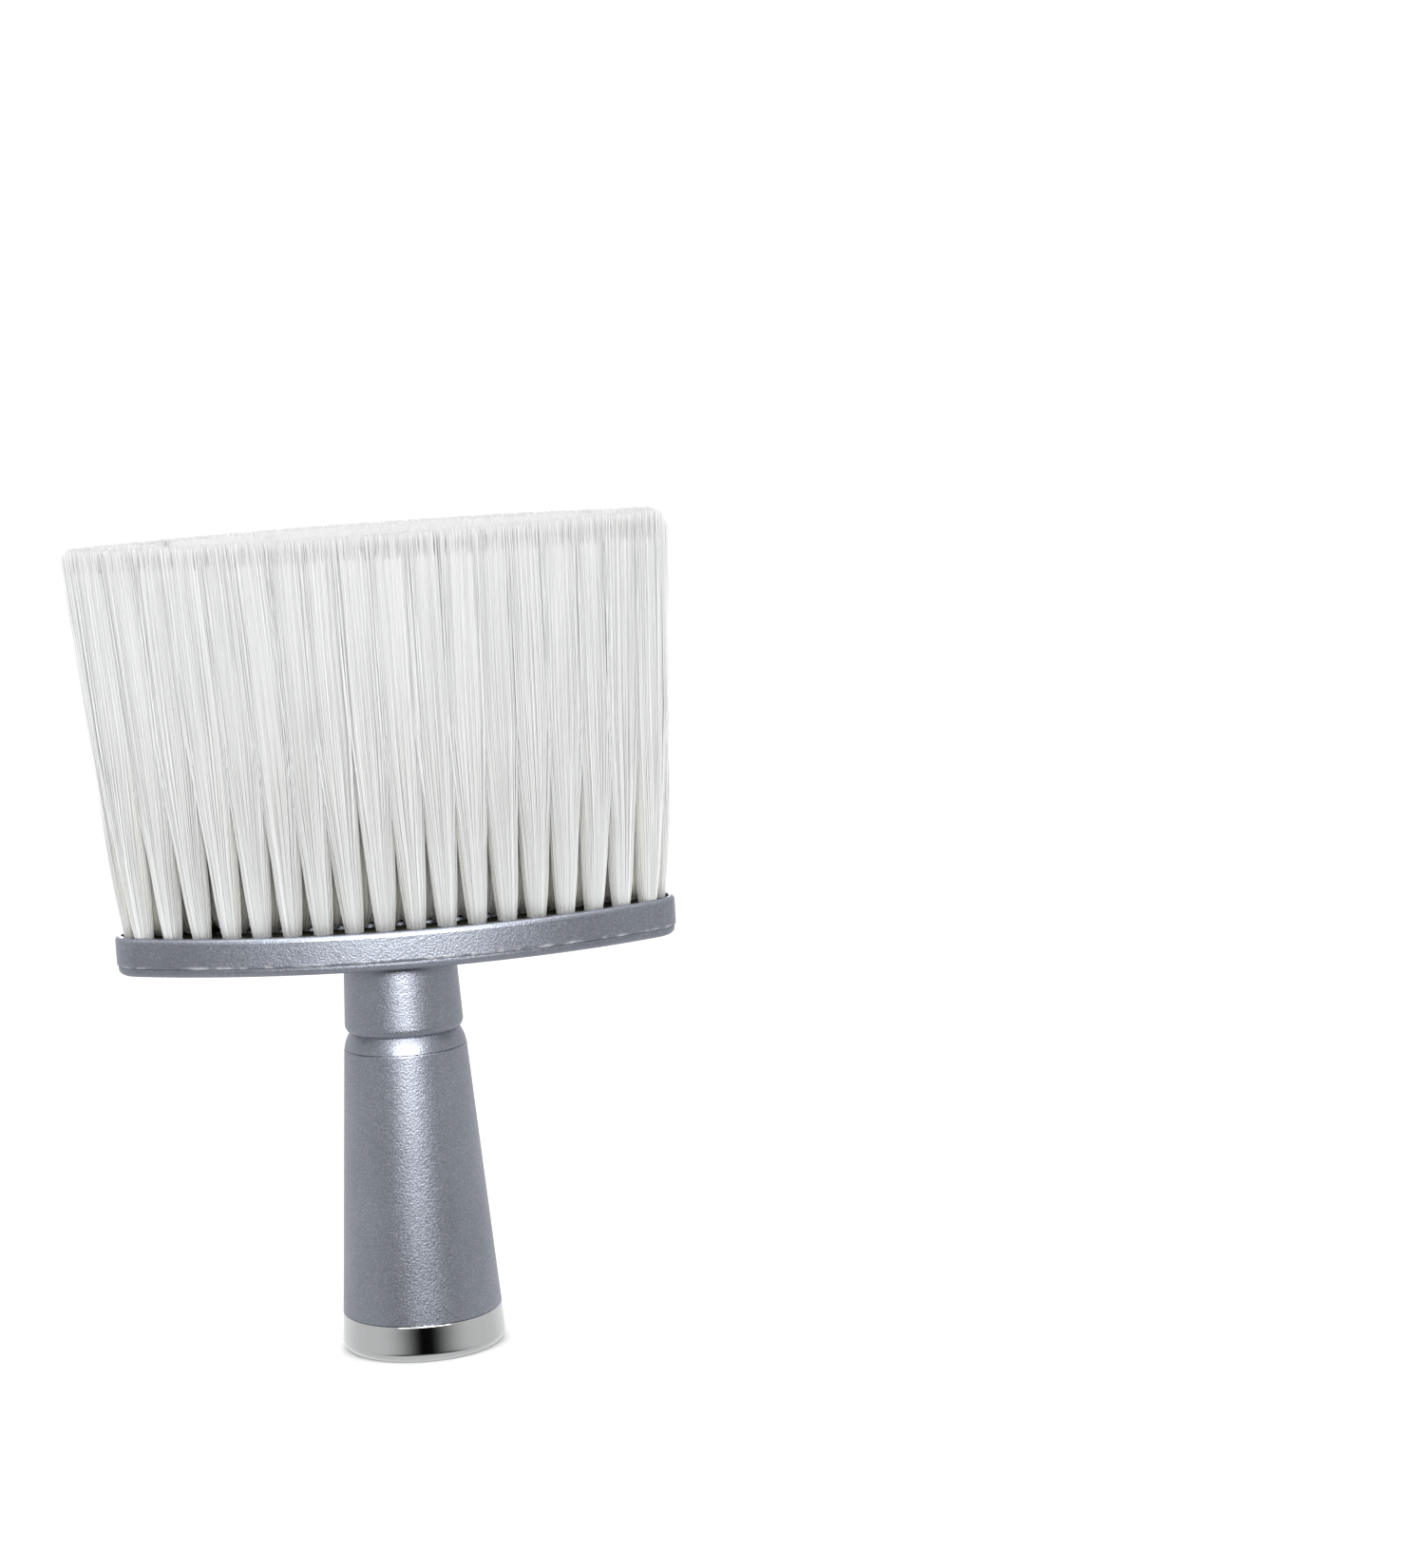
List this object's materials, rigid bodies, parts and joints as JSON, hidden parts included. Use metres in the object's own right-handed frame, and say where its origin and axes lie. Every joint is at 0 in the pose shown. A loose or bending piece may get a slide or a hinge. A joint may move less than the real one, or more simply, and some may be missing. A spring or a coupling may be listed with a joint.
{
  "type": "neck duster brush",
  "caption": "Barber's neck duster brush: lens-shaped silver head with wide soft white bristles trimmed flat, short tapered handle and chrome end cap it can stand on.",
  "frame": {"origin": "centre of the underside of the chrome end cap, on which the brush stands", "axes": "+Z from the handle towards the bristle tips, +X along the long side of the head, -Y the front"},
  "size_m": [0.1294, 0.0438, 0.176],
  "materials": {
    "silver_paint": "satin",
    "chrome_plate": "polished",
    "nylon_fibre": "matte",
    "anchor_wire": "satin",
    "zinc_steel": "satin",
    "brass_insert": "satin"
  },
  "bodies": {
    "root": {"centre_line_anchors": "anchor_wire", "centre_line_tufts": "nylon_fibre", "chrome_end_cap": "chrome_plate", "flat_washer": "zinc_steel", "handle_screw": "zinc_steel", "handle_shell": "silver_paint", "head_cover": "silver_paint", "inner_row_anchors": "anchor_wire", "inner_row_tufts": "nylon_fibre", "lock_washer": "zinc_steel", "neck_insert": "brass_insert", "outer_ring_anchors": "anchor_wire", "outer_tuft_back_01": "nylon_fibre", "outer_tuft_back_02": "nylon_fibre", "outer_tuft_back_03": "nylon_fibre", "outer_tuft_back_04": "nylon_fibre", "outer_tuft_back_05": "nylon_fibre", "outer_tuft_back_06": "nylon_fibre", "outer_tuft_back_07": "nylon_fibre", "outer_tuft_back_08": "nylon_fibre", "outer_tuft_back_09": "nylon_fibre", "outer_tuft_back_10": "nylon_fibre", "outer_tuft_back_11": "nylon_fibre", "outer_tuft_back_12": "nylon_fibre", "outer_tuft_back_13": "nylon_fibre", "outer_tuft_back_14": "nylon_fibre", "outer_tuft_back_15": "nylon_fibre", "outer_tuft_back_16": "nylon_fibre", "outer_tuft_back_17": "nylon_fibre", "outer_tuft_back_18": "nylon_fibre", "outer_tuft_front_01": "nylon_fibre", "outer_tuft_front_02": "nylon_fibre", "outer_tuft_front_03": "nylon_fibre", "outer_tuft_front_04": "nylon_fibre", "outer_tuft_front_05": "nylon_fibre", "outer_tuft_front_06": "nylon_fibre", "outer_tuft_front_07": "nylon_fibre", "outer_tuft_front_08": "nylon_fibre", "outer_tuft_front_09": "nylon_fibre", "outer_tuft_front_10": "nylon_fibre", "outer_tuft_front_11": "nylon_fibre", "outer_tuft_front_12": "nylon_fibre", "outer_tuft_front_13": "nylon_fibre", "outer_tuft_front_14": "nylon_fibre", "outer_tuft_front_15": "nylon_fibre", "outer_tuft_front_16": "nylon_fibre", "outer_tuft_front_17": "nylon_fibre", "outer_tuft_front_18": "nylon_fibre", "outer_tuft_left_end": "nylon_fibre", "outer_tuft_right_end": "nylon_fibre", "second_ring_anchors": "anchor_wire", "second_ring_tufts": "nylon_fibre", "shoulder_collar": "silver_paint", "tuft_block": "silver_paint"}
  },
  "joints": []
}
